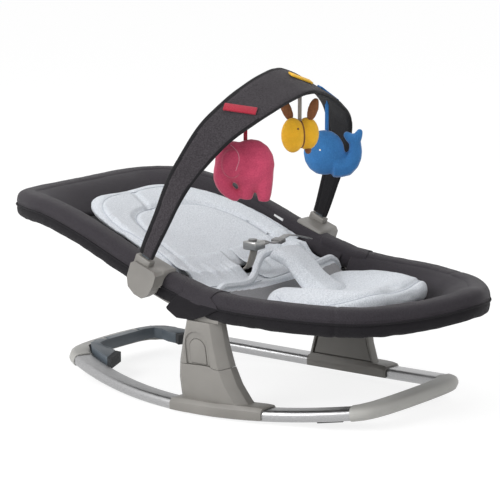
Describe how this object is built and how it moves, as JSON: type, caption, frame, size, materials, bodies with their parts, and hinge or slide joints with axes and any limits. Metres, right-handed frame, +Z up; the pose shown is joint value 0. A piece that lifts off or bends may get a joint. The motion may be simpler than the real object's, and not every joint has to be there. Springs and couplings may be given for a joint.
{
  "type": "baby bouncer",
  "caption": "Rocking baby bouncer: aluminium runners, two side posts, reclining padded fabric seat with harness, and a fabric toy arch with elephant, bee and whale.",
  "frame": {"origin": "on the floor under the lowest point of the two runners, in the middle plane", "axes": "+X toward the foot end, +Y to the left side, +Z up"},
  "size_m": [0.8167, 0.4918, 0.5263],
  "materials": {
    "aluminium": "brushed",
    "bow_plastic": "satin warm grey",
    "post_plastic": "satin grey-brown",
    "stop_plastic": "satin slate",
    "rubber": "matt",
    "steel": "plain",
    "dark_fabric": "woven",
    "liner_fabric": "melange jersey",
    "buckle_plastic": "light grey",
    "webbing": "woven tape",
    "pink_plush": "plush",
    "yellow_plush": "plush",
    "blue_plush": "plush",
    "brown_plush": "plush"
  },
  "bodies": {
    "fixed": {"runner_left": "aluminium", "runner_right": "aluminium", "rear_bow": "bow_plastic", "front_bow": "bow_plastic", "foot_front_left": "rubber", "foot_front_right": "rubber", "foot_rear_left": "rubber", "foot_rear_right": "rubber", "post_lower_left": "post_plastic", "post_lower_right": "post_plastic", "post_upper_left": "post_plastic", "post_upper_right": "post_plastic", "post_inner_left": "post_plastic", "post_inner_right": "post_plastic", "hinge_fixed_left": "post_plastic", "hinge_fixed_right": "post_plastic", "leg_frame": "steel", "leg_rim": "dark_fabric", "leg_sling": "dark_fabric", "seat_pad": "liner_fabric", "foot_cushion": "liner_fabric", "crotch_pad": "liner_fabric", "crotch_strap": "webbing", "buckle_body": "buckle_plastic"},
    "backrest": {"hinge_moving_left": "post_plastic", "hinge_moving_right": "post_plastic", "back_frame": "steel", "back_rim_right": "dark_fabric", "back_rim_left": "dark_fabric", "back_sling": "dark_fabric", "back_pad": "liner_fabric", "clip_left": "bow_plastic", "clip_right": "bow_plastic"},
    "release_left": {"release_button_left": "post_plastic"},
    "release_right": {"release_button_right": "post_plastic"},
    "stop": {"rocking_stop": "stop_plastic", "stop_tip_left": "rubber", "stop_tip_right": "rubber"},
    "toy_bar": {"toy_bar_core": "stop_plastic", "toy_bar_sleeve": "dark_fabric", "toy_loop_red": "pink_plush", "toy_loop_yellow": "yellow_plush", "toy_loop_blue": "blue_plush"},
    "elephant": {"elephant_body": "pink_plush", "elephant_head": "pink_plush", "elephant_ear_left": "pink_plush", "elephant_ear_right": "pink_plush", "elephant_strap": "pink_plush"},
    "bee": {"bee_head": "yellow_plush", "bee_body": "yellow_plush", "bee_wing_left": "brown_plush", "bee_wing_right": "brown_plush", "bee_strap": "webbing"},
    "whale": {"whale_body": "blue_plush", "whale_tail": "blue_plush", "whale_strap": "blue_plush"},
    "button": {"buckle_button": "webbing"},
    "tongue": {"buckle_tongue": "buckle_plastic", "strap_adjuster": "buckle_plastic", "waist_strap": "webbing"}
  },
  "joints": [
    {"name": "backrest_recline", "type": "hinge", "parent": "fixed", "child": "backrest", "pos_m": [0.035, 0, 0.183], "axis": [0, 1, 0], "range_deg": [0, 18]},
    {"name": "release_press_right", "type": "slide", "parent": "fixed", "child": "release_right", "axis": [0, 1, 0], "range_m": [0, 0.004], "stiffness_N_per_m": 600},
    {"name": "release_press_left", "type": "slide", "parent": "fixed", "child": "release_left", "axis": [0, -1, 0], "range_m": [0, 0.004], "stiffness_N_per_m": 600},
    {"name": "rocking_stop_hinge", "type": "hinge", "parent": "fixed", "child": "stop", "pos_m": [-0.3085, 0, 0.0405], "axis": [0, 1, 0], "range_deg": [0, 16]},
    {"name": "toy_bar_pull_out", "type": "slide", "parent": "backrest", "child": "toy_bar", "axis": [0.3923, 0, 0.9198], "range_m": [0, 0.027]},
    {"name": "elephant_swing", "type": "hinge", "parent": "toy_bar", "child": "elephant", "pos_m": [0.036, -0.1, 0.47416], "axis": [0, 1, 0], "range_deg": [-25, 25]},
    {"name": "bee_swing", "type": "hinge", "parent": "toy_bar", "child": "bee", "pos_m": [0.052, 0.022, 0.50016], "axis": [0, 1, 0], "range_deg": [-8, 25]},
    {"name": "whale_swing", "type": "hinge", "parent": "toy_bar", "child": "whale", "pos_m": [0.037, 0.118, 0.46336], "axis": [0, 1, 0], "range_deg": [-25, 25]},
    {"name": "buckle_button_press", "type": "slide", "parent": "fixed", "child": "button", "axis": [0, 0, -1], "range_m": [0, 0.002], "stiffness_N_per_m": 400},
    {"name": "tongue_pull_out", "type": "slide", "parent": "fixed", "child": "tongue", "axis": [0, 1, 0], "range_m": [0, 0.013]}
  ]
}
